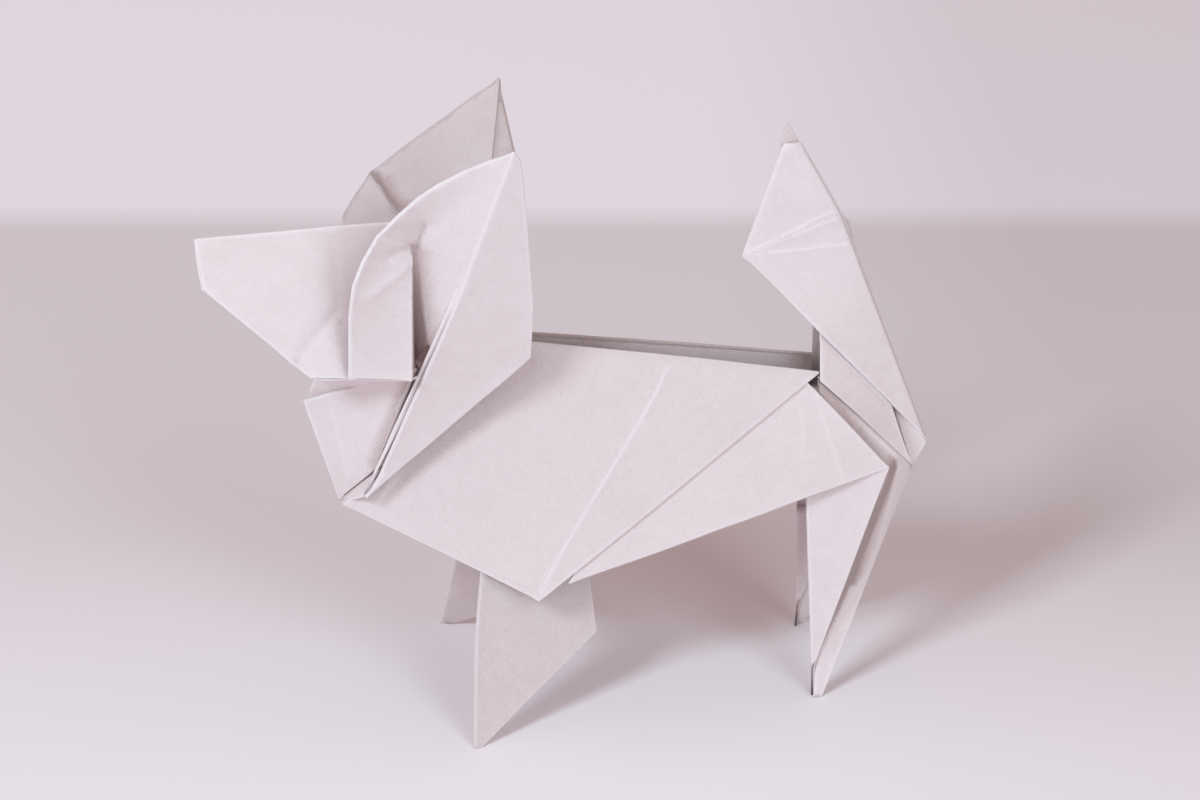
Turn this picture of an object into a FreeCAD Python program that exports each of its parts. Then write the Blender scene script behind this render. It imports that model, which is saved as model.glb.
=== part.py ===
import FreeCAD
import Part
import os

# Origami dog: one folded sheet of thick paper, standing on four feet.
# Every fold point is given by three lengths in millimetres: along (from the
# front feet towards the tail), out (from the plane of symmetry) and up (from
# the ground). The left half is drawn, the right half mirrors it, and a few
# points of the right half are shifted, as in any dog folded by hand.

doc = FreeCAD.newDocument("OrigamiDog")
sheet = doc.addObject("Spreadsheet::Sheet", "Dimensions")
sheetRow = 0


def dimension(alias, value, meaning):
    global sheetRow
    sheetRow += 1
    sheet.set("A%d" % sheetRow, meaning)
    sheet.set("B%d" % sheetRow, str(value))
    sheet.setAlias("B%d" % sheetRow, alias)


def foldPoint(name, along, out, up):
    dimension(name + "Along", along, name + ", along")
    dimension(name + "Out", out, name + ", out")
    dimension(name + "Up", up, name + ", up")


dimension("overallLength", 92.1, "nose to rump, along")
dimension("overallHeight", 79.4, "ground to ear tips")
dimension("overallWidth", 32.8, "between the points of the front feet")
dimension("paperThickness", 0.3, "one layer of the sheet")
dimension("foldSwell", 0.01, "how far a pressed fold stands out beyond the faces of its layer")

# Head: a roof with its ridge along the top of the snout.
foldPoint("nose", -30.5, 0.0, 65.4)
foldPoint("brow", -14.0, 0.0, 66.2)
foldPoint("crown", -5.8, 0.0, 66.3)
foldPoint("cheek", -13.3, 8.2, 49.5)
foldPoint("temple", -6.2, 4.4, 47.6)
dimension("muzzleAlong", -30.2, "lower corner of the nose, along")
dimension("muzzleUp", 60.0, "lower corner of the nose, up")
dimension("jawAlong", -17.9, "front of the jaw, along")
dimension("jawUp", 49.8, "front of the jaw, up")

# Ear: front edge from the tip round to the cheek, then the inner folds.
foldPoint("earTip", 7.2, 11.7, 79.4)
foldPoint("earEdgeA", 4.2, 10.6, 77.8)
foldPoint("earEdgeB", 1.1, 9.7, 75.8)
foldPoint("earEdgeC", -1.8, 9.2, 73.9)
foldPoint("earEdgeD", -4.3, 8.9, 71.9)
foldPoint("earEdgeE", -6.6, 9.0, 70.0)
foldPoint("earEdgeF", -8.9, 9.3, 67.8)
foldPoint("earEdgeG", -10.8, 9.5, 65.2)
foldPoint("earEdgeH", -12.1, 9.5, 62.1)
foldPoint("earEdgeJ", -12.9, 9.3, 58.5)
foldPoint("earEdgeK", -13.3, 9.0, 54.3)
foldPoint("earFoot", -13.4, 8.8, 49.8)
foldPoint("earBase", -5.6, 8.5, 49.0)
foldPoint("pinch", -5.0, 6.4, 66.3)
foldPoint("slotRim", -3.4, 6.0, 50.7)
foldPoint("well", -4.8, 2.9, 49.0)
foldPoint("collarTop", 1.1, 9.2, 62.1)
foldPoint("collarMid", -2.6, 6.8, 50.5)

# Back of the ear and the collar that wraps the chest.
foldPoint("rimLow", 9.4, 6.6, 50.3)
foldPoint("collarEdge", -10.1, 4.9, 33.0)
dimension("rimAlong", 9.6, "bend of the ear's rear edge, along")
dimension("rimUp", 57.8, "bend of the ear's rear edge, up")
dimension("rimHighAlong", 8.8, "upper rear edge of the ear, along")
dimension("rimHighUp", 70.8, "upper rear edge of the ear, up")
dimension("collarTipAlong", -12.3, "lowest point of the collar, along")
dimension("collarTipUp", 29.9, "lowest point of the collar, up")
foldPoint("stripTop", 0.5, 8.8, 61.9)
foldPoint("stripLow", -10.8, 4.6, 34.3)
foldPoint("stripEnd", -11.7, 4.0, 30.9)

# Neck and chest.
foldPoint("chinTop", -16.7, 0.0, 46.4)
foldPoint("throat", -18.4, 0.0, 42.9)
foldPoint("chest", -14.2, 0.0, 28.7)
foldPoint("keel", -13.9, 0.0, 28.0)
foldPoint("neckSide", -3.8, 6.3, 48.4)
foldPoint("neckLow", -9.8, 4.2, 34.9)
foldPoint("lensTop", -9.3, 3.8, 34.9)
foldPoint("nape", 8.5, 0.0, 43.5)

# Body: two sides, and the back sunk between them.
foldPoint("breastTip", -13.6, 1.6, 28.3)
foldPoint("breast", -1.8, 3.5, 39.9)
foldPoint("backFront", 9.9, 1.4, 49.8)
foldPoint("rump", 46.3, 2.8, 44.0)
foldPoint("belly", 9.9, 10.3, 17.6)
foldPoint("sinkEnd", 47.0, 0.0, 36.5)
dimension("layerStep", 0.45, "from one layer of the side to the next")
dimension("sinkFrontAlong", 10.6, "front of the sunk wall's lower edge, along")
dimension("sinkFrontUp", 44.5, "front of the sunk wall's lower edge, up")
dimension("sinkRumpAlong", 44.6, "rear of the sunk wall's lower edge, along")
dimension("sinkRumpUp", 40.5, "rear of the sunk wall's lower edge, up")
dimension("hemWidth", 4.0, "paper turned in behind the side's lower edge")
dimension("hipAlong", 45.8, "top corner of the thigh, along")
dimension("hipUp", 42.9, "top corner of the thigh, up")
dimension("kneeAlong", 55.4, "rear corner of the thigh, along")
dimension("kneeUp", 31.2, "rear corner of the thigh, up")
dimension("thighFrontAlong", 13.7, "front corner of the thigh, along")
dimension("thighFrontUp", 19.3, "front corner of the thigh, up")

# Front leg: one flat flap from the middle of the body down to the ground.
foldPoint("forefoot", 0.5, 16.4, -0.9)
foldPoint("foreEdge", 2.6, 7.0, 19.7)
foldPoint("foreCorner", 17.7, 6.0, 10.1)
dimension("foreMidAlong", 1.5, "middle of the front leg's front edge, along")
dimension("foreMidUp", 12.6, "middle of the front leg's front edge, up")
dimension("foreBackAlong", 17.1, "rear edge of the front leg, along")
dimension("foreBackUp", 16.6, "rear edge of the front leg, up")
dimension("foreTopAlong", 4.2, "top of the front leg at the middle plane, along")
dimension("foreTailAlong", 17.5, "rear of the front leg at the middle plane, along")

# Hind leg: an outer flap and a rear strip that runs up to the rump.
foldPoint("hindfoot", 46.1, 8.9, -0.9)
foldPoint("shin", 44.8, 5.3, 27.0)
foldPoint("heel", 46.7, 9.9, -0.9)
foldPoint("spineLow", 59.8, 0.0, 28.4)
foldPoint("spineHigh", 61.6, 0.0, 31.8)
foldPoint("kneeInside", 54.6, 4.4, 30.2)
foldPoint("lip", 46.2, 2.3, 42.6)
dimension("shinTopUp", 33.0, "hidden top of the hind leg, up")

# Tail base and tail.
foldPoint("baseTop", 46.6, 2.3, 49.2)
foldPoint("baseLow", 46.7, 2.8, 42.8)
foldPoint("baseBack", 56.3, 1.2, 38.0)
foldPoint("rearDeep", 56.5, 0.4, 38.2)
foldPoint("tailTip", 41.9, 0.0, 74.2)
foldPoint("tailTipBack", 43.8, 0.5, 74.6)
foldPoint("tailCorner", 36.9, 0.0, 59.4)
foldPoint("tailBend", 48.8, 0.9, 65.3)
foldPoint("tailWrap", 46.5, 2.9, 49.6)
foldPoint("tailPoint", 42.3, 0.3, 76.6)

# How far the right half strays from the mirror of the left half.
dimension("farForefootAlong", -1.5, "right front foot, further forward")
dimension("farHindfootAlong", 1.3, "right hind foot, further back")
dimension("farEarTipAlong", 0.7, "right ear tip, further back")
dimension("farRimAlong", 0.7, "rear edge of the right ear, further back")
dimension("farCollarAlong", 4.5, "fold behind the right ear, further back")
dimension("farTailAlong", 1.5, "right half of the tail, further back")
dimension("farTailUp", -2.0, "right half of the tail, lower")

doc.recompute()


def size(alias):
    return float(sheet.get(alias))


stretchAlong = size("overallLength") / (size("spineHighAlong") - size("noseAlong"))
stretchUp = size("overallHeight") / size("earTipUp")
stretchOut = size("overallWidth") / (2 * size("forefootOut"))
thickness = size("paperThickness")


def place(along, out, up):
    # the left half lies on the side of negative Y
    return FreeCAD.Vector(along * stretchAlong, -out * stretchOut, up * stretchUp)


points = {}
for name in ("nose brow crown cheek temple earTip earEdgeA earEdgeB earEdgeC earEdgeD "
             "earEdgeE earEdgeF earEdgeG earEdgeH earEdgeJ earEdgeK earFoot earBase "
             "pinch slotRim well collarTop collarMid rimLow collarEdge stripTop stripLow "
             "stripEnd chinTop throat chest keel neckSide neckLow lensTop nape breastTip "
             "breast backFront rump belly sinkEnd forefoot foreEdge "
             "foreCorner hindfoot shin heel spineLow spineHigh kneeInside lip "
             "baseTop baseLow baseBack rearDeep tailTip tailTipBack tailCorner "
             "tailBend tailWrap tailPoint").split():
    points[name] = place(size(name + "Along"), size(name + "Out"), size(name + "Up"))


def onPlane(first, second, third, along, up, inward=0.0):
    # the point of the plane of three others that has this along and up
    a = points[first]
    normal = (points[second] - a).cross(points[third] - a)
    x = along * stretchAlong
    z = up * stretchUp
    y = a.y - (normal.x * (x - a.x) + normal.z * (z - a.z)) / normal.y
    return FreeCAD.Vector(x, y + inward, z)


def onPlaneNamed(first, second, third, name, inward=0.0):
    return onPlane(first, second, third, size(name + "Along"), size(name + "Up"), inward)


points["muzzle"] = onPlaneNamed("nose", "brow", "cheek", "muzzle")
points["jaw"] = onPlaneNamed("nose", "brow", "cheek", "jaw")
points["rim"] = onPlaneNamed("collarTop", "rimLow", "collarEdge", "rim")
points["collarTip"] = onPlaneNamed("collarTop", "rimLow", "collarEdge", "collarTip")
points["rimHigh"] = onPlaneNamed("earTip", "rim", "collarTop", "rimHigh")

# Layers of the side, each one step further in than the one outside it.
step = size("layerStep")
for name in ("hip", "knee", "thighFront"):
    points[name] = onPlaneNamed("belly", "backFront", "rump", name, step)
for name in ("sinkFront", "sinkRump"):
    points[name] = onPlaneNamed("belly", "backFront", "rump", name, 2.6 * step)
edge = points["rump"] - points["belly"]
sideNormal = (points["backFront"] - points["belly"]).cross(edge)
inPlane = sideNormal.cross(edge)
inPlane.normalize()
if inPlane.z < 0:
    inPlane = inPlane * -1
inwards = FreeCAD.Vector(0, step, 0)
hemShift = inPlane * size("hemWidth")
points["hemFront"] = points["belly"] + edge * 0.12 + hemShift + inwards
points["hemBack"] = points["belly"] + edge * 0.90 + hemShift + inwards
points["thighTopFront"] = points["thighFront"] + edge * 0.10 + hemShift * 0.6
points["thighTopBack"] = points["hip"] - edge * 0.12 + hemShift * 0.6

# Legs, each a flat flap that runs on inside the body.
points["foreMid"] = onPlaneNamed("forefoot", "foreEdge", "foreCorner", "foreMid")
points["foreBack"] = onPlaneNamed("forefoot", "foreEdge", "foreCorner", "foreBack")


def onMiddle(first, second, third, along):
    a = points[first]
    normal = (points[second] - a).cross(points[third] - a)
    x = along * stretchAlong
    z = a.z + (normal.y * a.y - normal.x * (x - a.x)) / normal.z
    return FreeCAD.Vector(x, 0, z)


points["foreTop"] = onMiddle("forefoot", "foreEdge", "foreCorner", size("foreTopAlong"))
points["foreTail"] = onMiddle("forefoot", "foreEdge", "foreCorner", size("foreTailAlong"))
shinTopUp = size("shinTopUp")
points["shinTop"] = onPlane("hindfoot", "shin", "knee", size("shinAlong"), shinTopUp)
points["shinTopBack"] = onPlane("hindfoot", "shin", "knee", size("shinAlong") + 4.0, shinTopUp)
points["heelInside"] = points["heel"] + FreeCAD.Vector(-1.0, 0.6, 0.3)

# One entry for each panel of the sheet: its corners in order.
panels = [
    ("snout", "nose brow cheek jaw muzzle"),
    ("templePanel", "brow crown temple cheek"),
    ("earFront", "earBase earFoot earEdgeK earEdgeJ earEdgeH earEdgeG earEdgeF pinch"),
    ("earUpper", "pinch earEdgeF earEdgeE earEdgeD earEdgeC earEdgeB earEdgeA earTip"),
    ("earInner", "pinch earTip collarTop collarMid slotRim"),
    ("earSlot", "pinch slotRim well"),
    ("earWell", "pinch well earBase"),
    ("earBack", "earTip rimHigh rim collarTop"),
    ("collar", "collarTop rim rimLow collarTip collarEdge"),
    ("strip", "stripTop collarTop collarMid stripEnd stripLow"),
    ("chin", "chinTop throat neckSide earBase cheek"),
    ("neck", "throat neckSide neckLow chest"),
    ("lens", "chest lensTop stripEnd keel"),
    ("neckBack", "neckSide backFront breast neckLow"),
    ("napeUpper", "crown pinch well nape"),
    ("napeLower", "well neckSide backFront nape"),
    ("side", "belly breastTip breast backFront rump"),
    ("hem", "belly rump hemBack hemFront"),
    ("sinkWall", "backFront rump sinkRump sinkFront"),
    ("sinkFloor", "sinkFront sinkRump sinkEnd nape"),
    ("sinkNose", "backFront sinkFront nape"),
    ("thigh", "thighFront knee hip thighTopBack thighTopFront"),
    ("foreleg", "forefoot foreMid foreEdge foreTop foreTail foreBack foreCorner"),
    ("shank", "hindfoot shin shinTop shinTopBack knee"),
    ("shankRear", "spineLow heel heelInside kneeInside"),
    ("rumpStrip", "lip spineLow kneeInside"),
    ("tailBase", "baseTop baseLow spineLow baseBack"),
    ("rear", "rearDeep spineLow spineHigh"),
    ("tail", "tailTip tailCorner tailWrap spineHigh tailBend tailTipBack"),
]
singlePanels = [
    ("web", "webFront webBack webLow webHigh"),
]


def farName(name):
    return "far" + name[0].upper() + name[1:]


def farPoint(name, along, up=0):
    # the right half's own place for a point, drawn on the left side and mirrored later
    shift = FreeCAD.Vector(along * stretchAlong, 0, up * stretchUp)
    points[farName(name)] = points[name] + shift


farPoint("forefoot", size("farForefootAlong"))
farPoint("foreMid", size("farForefootAlong") * 0.4)
farPoint("shin", size("farHindfootAlong") * 0.7)
farPoint("shinTop", size("farHindfootAlong") * 0.6)
farPoint("hindfoot", size("farHindfootAlong"))
farPoint("heel", size("farHindfootAlong"))
farPoint("heelInside", size("farHindfootAlong"))
farPoint("tailBend", size("farTailAlong"), size("farTailUp"))
farPoint("earTip", size("farEarTipAlong"))
farPoint("collarMid", size("farCollarAlong") * 0.3)
points["farRim"] = onPlane("collarTop", "rimLow", "collarEdge",
                           size("rimAlong") + size("farRimAlong"), size("rimUp"))
points["farCollarTop"] = onPlane("collarTop", "rimLow", "collarEdge",
                                 size("collarTopAlong") + size("farCollarAlong"), size("collarTopUp"))
points["farRimHigh"] = onPlane("farEarTip", "farRim", "farCollarTop",
                               size("rimHighAlong") + size("farRimAlong"), size("rimHighUp"))
valley = points["sinkEnd"] - points["nape"]
legTop = points["foreTop"] - points["foreTail"]
points["webFront"] = points["nape"] + valley * 0.05
points["webBack"] = points["nape"] + valley * 0.40
points["webLow"] = points["foreTail"] + legTop * 0.15
points["webHigh"] = points["foreTail"] + legTop * 0.85


def corner(name, isFar):
    if not isFar:
        return points[name]
    p = points.get(farName(name), points[name])
    return FreeCAD.Vector(p.x, -p.y, p.z)


def flatFace(corners):
    return Part.Face(Part.makePolygon(corners + [corners[0]]))


def layer(corners):
    # one panel of paper: the corners are moved out to both faces of the sheet
    count = len(corners)
    normals = []
    for i in range(1, count - 1):
        normal = (corners[i] - corners[0]).cross(corners[i + 1] - corners[0])
        normal.normalize()
        normals.append(normal)
    isFlat = all(abs((p - corners[0]).dot(normals[0])) < 1e-7 for p in corners)
    if isFlat:
        half = normals[0] * (thickness / 2)
        face = flatFace([p - half for p in corners])
        return face.extrude(normals[0] * thickness)
    upper = []
    lower = []
    for i in range(count):
        touching = [normals[k] for k in range(count - 2) if i in (0, k + 1, k + 2)]
        mean = FreeCAD.Vector(0, 0, 0)
        for normal in touching:
            mean = mean + normal
        mean.normalize()
        stretch = sum(mean.dot(normal) for normal in touching) / len(touching)
        half = mean * (thickness / 2 / stretch)
        upper.append(corners[i] + half)
        lower.append(corners[i] - half)
    faces = []
    for i in range(1, count - 1):
        faces.append(flatFace([upper[0], upper[i], upper[i + 1]]))
        faces.append(flatFace([lower[0], lower[i + 1], lower[i]]))
    for i in range(count):
        k = (i + 1) % count
        faces.append(flatFace([lower[i], lower[k], upper[k]]))
        faces.append(flatFace([lower[i], upper[k], upper[i]]))
    solid = Part.Solid(Part.Shell(faces))
    if solid.Volume < 0:
        solid.reverse()
    return solid


def foldRod(start, end):
    radius = thickness / 2 + size("foldSwell")
    direction = end - start
    return Part.makeCylinder(radius, direction.Length, start, direction)


pieces = []


def addPanel(label, corners):
    piece = layer(corners)
    if not piece.isValid() or piece.Volume <= 0:
        raise RuntimeError("bad panel " + label)
    pieces.append(piece)


edges = {}
for name, cornerNames in panels:
    names = cornerNames.split()
    for isFar in (False, True):
        corners = [corner(n, isFar) for n in names]
        addPanel(name, corners)
        for i in range(len(names)):
            key = frozenset((names[i], names[(i + 1) % len(names)]))
            edges.setdefault((key, isFar), []).append(name)
for name, cornerNames in singlePanels:
    addPanel(name, [corner(n, False) for n in cornerNames.split()])

# the nose end closes the front of the snout, and the tail's right half is longer
addPanel("noseEnd", [points["nose"], points["muzzle"], corner("muzzle", True)])
addPanel("tailPoint", [corner(n, True) for n in ("tailTip", "tailPoint", "tailTipBack")])

# a rounded fold lies along every edge that two panels share, or that the two
# halves of the sheet share on the plane of symmetry
rods = []
for (key, isFar), owners in edges.items():
    first, second = sorted(key)
    start = corner(first, isFar)
    end = corner(second, isFar)
    onMiddlePlane = abs(start.y) < 1e-9 and abs(end.y) < 1e-9
    if len(owners) < 2 and not onMiddlePlane:
        continue
    if first == "foreTail" and second == "foreTop":
        continue
    if onMiddlePlane and isFar and farName(first) not in points and farName(second) not in points:
        continue
    rods.append(foldRod(start, end))

folded = pieces[0].multiFuse(pieces[1:])
for rod in rods:
    folded = folded.fuse(rod)
folded = folded.removeSplitter()

# Flat soles: the points of the feet reach below the ground and are cut off there.
box = folded.BoundBox
margin = 5
ground = Part.makeBox(box.XLength + 2 * margin, box.YLength + 2 * margin, margin - box.ZMin,
                      FreeCAD.Vector(box.XMin - margin, box.YMin - margin, box.ZMin - margin))
folded = folded.cut(ground)
if len(folded.Solids) != 1:
    raise RuntimeError("the sheet fell into %d solids" % len(folded.Solids))
solid = folded.Solids[0]

node = doc.addObject("Part::Feature", "FoldedSheet")
node.Label = "folded_sheet"
node.Shape = solid
box = solid.BoundBox
node.Placement = FreeCAD.Placement(
    FreeCAD.Vector(-(box.XMin + box.XMax) / 2, -(box.YMin + box.YMax) / 2, -box.ZMin),
    FreeCAD.Rotation())

doc.recompute()
for item in doc.Objects:
    if "Invalid" in item.State or "Error" in item.State:
        raise RuntimeError("recompute failed: " + item.Name)
if node.Shape.isNull() or not node.Shape.isValid():
    raise RuntimeError("folded_sheet has no valid shape")
os.makedirs("parts", exist_ok=True)
node.Shape.exportStep("parts/folded_sheet.step")
final = node.Shape.BoundBox
print("size", final.XLength, final.YLength, final.ZLength, "volume", node.Shape.Volume)
print("faces", len(node.Shape.Faces), "min z", final.ZMin)
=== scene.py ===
import bpy
import bmesh
import math
import numpy as np
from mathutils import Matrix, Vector, noise
from mathutils.geometry import delaunay_2d_cdt


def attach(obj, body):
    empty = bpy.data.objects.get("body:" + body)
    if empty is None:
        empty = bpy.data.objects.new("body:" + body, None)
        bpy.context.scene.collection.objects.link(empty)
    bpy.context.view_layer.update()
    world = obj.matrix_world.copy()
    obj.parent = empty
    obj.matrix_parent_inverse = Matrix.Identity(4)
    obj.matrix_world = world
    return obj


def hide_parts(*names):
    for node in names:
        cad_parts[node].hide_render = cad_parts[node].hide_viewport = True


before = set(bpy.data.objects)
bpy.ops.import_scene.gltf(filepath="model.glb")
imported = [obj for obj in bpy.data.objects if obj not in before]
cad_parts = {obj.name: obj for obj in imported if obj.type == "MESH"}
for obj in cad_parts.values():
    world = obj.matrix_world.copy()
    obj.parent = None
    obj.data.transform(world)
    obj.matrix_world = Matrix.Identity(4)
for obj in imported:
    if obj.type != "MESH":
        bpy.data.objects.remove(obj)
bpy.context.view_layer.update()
print("frame loaded")

scene = bpy.context.scene
scene.view_settings.view_transform = "Standard"

# Lengths below are in millimetres: along (front feet to tail), out (from the
# middle plane of the dog) and up (from the table).
perMetre = 1000
toMiddle = 15.54     # from the front feet to the middle of the frame

paper = {
    "thickness": 0.44,    # two layers pressed together
    "thinThickness": 0.30,
    "spacing": 1.4,       # between the points of a flap
    "lineSpacing": 0.8,   # and between those along a pressed line
    "foldSpacing": 0.9,   # or a soft fold
    "edgeBand": 0.42,     # width of the pressed band along a fold
    "secondBand": 2.2,    # times that width, the next row of points
    "edgeWear": 0.5,      # wear and painted highlight on a face just at its edge, 1 is the rim itself
    "creaseFall": 1.6,    # how fast the wear of a pressed line falls off across it
    "rimSteps": 8,        # faces round an edge
    "drawnIn": 0.4,       # of half the thickness, so that a loose edge ends where its line is
    "peek": 0.07,         # how far the inner layer shows past the outer one
    "lift": 0.16,         # how far a free edge stands off
    "liftReach": 1.8,     # how far in from the edge
    "liftFade": 3.0,      # it fades this near to a shared fold
    "liftPatch": 6.0,     # size of the places where it stands off more or less
    "liftEven": 0.6,
    "liftUneven": 0.8,
    "waveHeight": 0.14,
    "waveLength": 17.0,
    "rippleHeight": 0.03,
    "rippleLength": 4.5,
    "waveSeed": 3,
}

# fold points of the left half
foldPoints = {
    # head and ear
    "nose": (-30.9, 0.0, 65.5), "brow": (-14.0, 0.0, 66.2), "crown": (-5.8, 0.0, 66.3),
    "cheek": (-13.3, 8.2, 49.5), "temple": (-6.2, 4.4, 47.6),
    "earTip": (7.1, 11.7, 79.6), "earTipBack": (8.0, 11.3, 78.4), "earEdgeA": (4.3, 10.6, 78.4),
    "earEdgeB": (1.1, 9.7, 76.8), "earEdgeC": (-1.8, 9.2, 75.1), "earEdgeD": (-4.2, 8.9, 73.4),
    "earEdgeE": (-6.7, 9.0, 71.2), "earEdgeF": (-9.2, 9.3, 68.7), "earEdgeG": (-11.1, 9.5, 65.8),
    "earEdgeH": (-12.4, 9.5, 62.6), "earEdgeJ": (-13.0, 9.3, 58.7), "earEdgeK": (-13.2, 9.0, 54.5),
    "earFoot": (-13.4, 8.8, 50.0), "earBase": (-5.6, 8.5, 49.0), "pinch": (-5.0, 6.4, 66.3),
    "slotRim": (-3.0, 6.3, 52.9), "slotHigh": (-4.2, 5.9, 65.0), "well": (-4.8, 2.9, 49.0),
    # collar, chin and neck
    "collarTop": (1.1, 9.2, 62.1), "collarMid": (-2.6, 6.8, 50.5), "rimLow": (9.4, 6.6, 50.3),
    "collarEdge": (-9.6, 5.1, 34.5), "stripTop": (0.5, 8.8, 61.9), "stripLow": (-10.1, 4.5, 34.8),
    "stripEnd": (-11.6, 4.2, 31.0), "chinTop": (-16.7, 0.0, 46.4), "throat": (-18.4, 0.0, 42.9),
    "throatTuck": (-18.2, 0.0, 42.5), "neckTuck": (-3.9, 5.2, 48.2), "chest": (-14.4, 0.0, 28.7),
    "keel": (-14.2, 0.0, 28.0), "neckSide": (-3.8, 6.3, 48.4), "neckTop": (-4.8, 6.3, 49.5),
    "neckLow": (-9.8, 4.2, 34.9), "lensTop": (-9.3, 3.8, 34.9), "nape": (8.5, 0.0, 43.5),
    # sides and back
    "breastTip": (-14.2, 1.4, 28.6), "breast": (-1.8, 3.5, 39.9), "backFront": (9.9, 1.4, 49.8),
    "rump": (46.3, 2.8, 44.0), "belly": (9.7, 10.3, 17.6), "sinkEnd": (47.0, 0.0, 36.5),
    # legs and rump strip
    "forefoot": (0.5, 16.4, -0.9), "foreEdge": (2.6, 7.0, 19.7), "foreCorner": (17.7, 6.0, 10.1),
    "hindfoot": (45.65, 8.9, -0.9), "footSide": (45.8, 8.3, 3.8), "shin": (44.8, 5.3, 27.0),
    "heel": (46.35, 9.9, -0.9), "heelLow": (45.6, 10.0, -0.6), "heelInside": (46.1, 8.0, 3.8),
    "kneeInside": (54.6, 4.4, 30.2), "lip": (46.3, 2.3, 43.0), "lipUnder": (46.6, 2.6, 41.1),
    "spineLow": (59.8, 0.0, 28.4), "spineHigh": (61.6, 0.0, 31.8),
    # tail
    "baseTop": (46.6, 2.3, 49.2), "baseLow": (46.7, 2.8, 42.8), "baseBack": (56.3, 1.2, 38.0),
    "rearDeep": (56.5, 0.4, 38.2), "tailTip": (41.9, 0.0, 74.2), "tailTipBack": (43.8, 0.5, 74.6),
    "tailCorner": (36.9, 0.0, 59.4), "tailBend": (48.8, 0.9, 65.3), "tailWrap": (46.5, 2.9, 49.6),
    "tailPoint": (42.2, 0.3, 76.9), "pointLeft": (41.5, 0.3, 74.0), "pointRight": (43.9, 0.3, 73.8),
    "bulgeTop": (49.4, 0.9, 64.1), "bulgeMid": (50.7, 0.9, 62.9), "bulgeEnd": (51.4, 0.9, 59.5),
    # where painted shade runs
    "bandTop": (56.5, 2.8, 29.7), "bandMid": (50.8, 6.9, 15.3), "bandLow": (47.5, 9.3, 8.2),
    "collarShadeTop": (9.6, 2.1, 47.4), "collarShadeLow": (-9.2, 6.1, 33.0),
    "rearTop": (56.4, 0.4, 37.9), "shinMark": (45.5, 6.2, 20.3),
}
points = {name: Vector((x, -y, z)) for name, (x, y, z) in foldPoints.items()}


def onPlane(names, along, up, inward=0.0, source=points):
    # the point at these two measures on the plane of the first three names
    a, b, c = (source[n] for n in names.split()[:3])
    normal = (b - a).cross(c - a)
    y = a.y - (normal.x * (along - a.x) + normal.z * (up - a.z)) / normal.y
    return Vector((along, y + inward, up))


def onMiddle(names, along):
    # where that plane meets the middle plane of the dog
    a, b, c = (points[n] for n in names.split())
    normal = (b - a).cross(c - a)
    up = a.z + (normal.y * a.y - normal.x * (along - a.x)) / normal.z
    return Vector((along, 0.0, up))


layerStep = 0.45               # from one layer of the side to the next
sinkStep = layerStep * 2.6     # from the side to the sunk wall of the back
hemWidth = 4.0                 # paper turned in behind the side's lower edge
snoutPlane = "nose brow cheek"
collarPlane = "collarTop rimLow collarEdge"
sidePlane = "belly backFront rump"
legPlane = "forefoot foreEdge foreCorner"
shankPlane = "hindfoot shin knee"
for name, plane, along, up, inward in (
        ("muzzle", snoutPlane, -30.3, 60.0, 0.0), ("jaw", snoutPlane, -17.9, 49.8, 0.0),
        ("rim", collarPlane, 9.6, 57.8, 0.0), ("collarTip", collarPlane, -11.4, 31.1, 0.0),
        ("rimHigh", "earTip rim collarTop", 8.8, 70.8, 0.0),
        ("hip", sidePlane, 44.6, 43.3, layerStep), ("knee", sidePlane, 55.4, 31.2, layerStep),
        ("thighFront", sidePlane, 13.7, 19.3, layerStep),
        ("sinkFront", sidePlane, 10.6, 44.5, sinkStep), ("sinkRump", sidePlane, 46.2, 39.5, sinkStep),
        ("foreMid", legPlane, 1.5, 12.6, 0.0), ("foreBack", legPlane, 17.1, 16.6, 0.0),
        ("shinTop", shankPlane, 44.8, 33.0, 0.0), ("shinTopBack", shankPlane, 48.8, 33.0, 0.0)):
    points[name] = onPlane(plane, along, up, inward)

# hidden corners, at parts of the way along the edges that they lie behind
lowEdge = points["rump"] - points["belly"]
acrossSide = points["backFront"] - points["belly"]
hemShift = acrossSide.cross(lowEdge).cross(lowEdge).normalized() * hemWidth
if hemShift.z < 0:
    hemShift = -hemShift
inwards = Vector((0, layerStep, 0))
points["hemFront"] = points["belly"] + lowEdge * 0.12 + hemShift + inwards
points["hemBack"] = points["belly"] + lowEdge * 0.86 + hemShift * 0.4 + inwards
points["thighTopFront"] = points["thighFront"] + lowEdge * 0.10 + hemShift * 0.6
points["thighTopBack"] = points["hip"] - lowEdge * 0.12 + hemShift * 0.6
points["foreTop"] = onMiddle(legPlane, 4.2)
points["foreTail"] = onMiddle(legPlane, 17.5)
valley = points["sinkEnd"] - points["nape"]
legTop = points["foreTop"] - points["foreTail"]
points["webFront"] = points["nape"] + valley * 0.05
points["webBack"] = points["nape"] + valley * 0.40
points["webLow"] = points["foreTail"] + legTop * 0.15
points["webHigh"] = points["foreTail"] + legTop * 0.85

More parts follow.
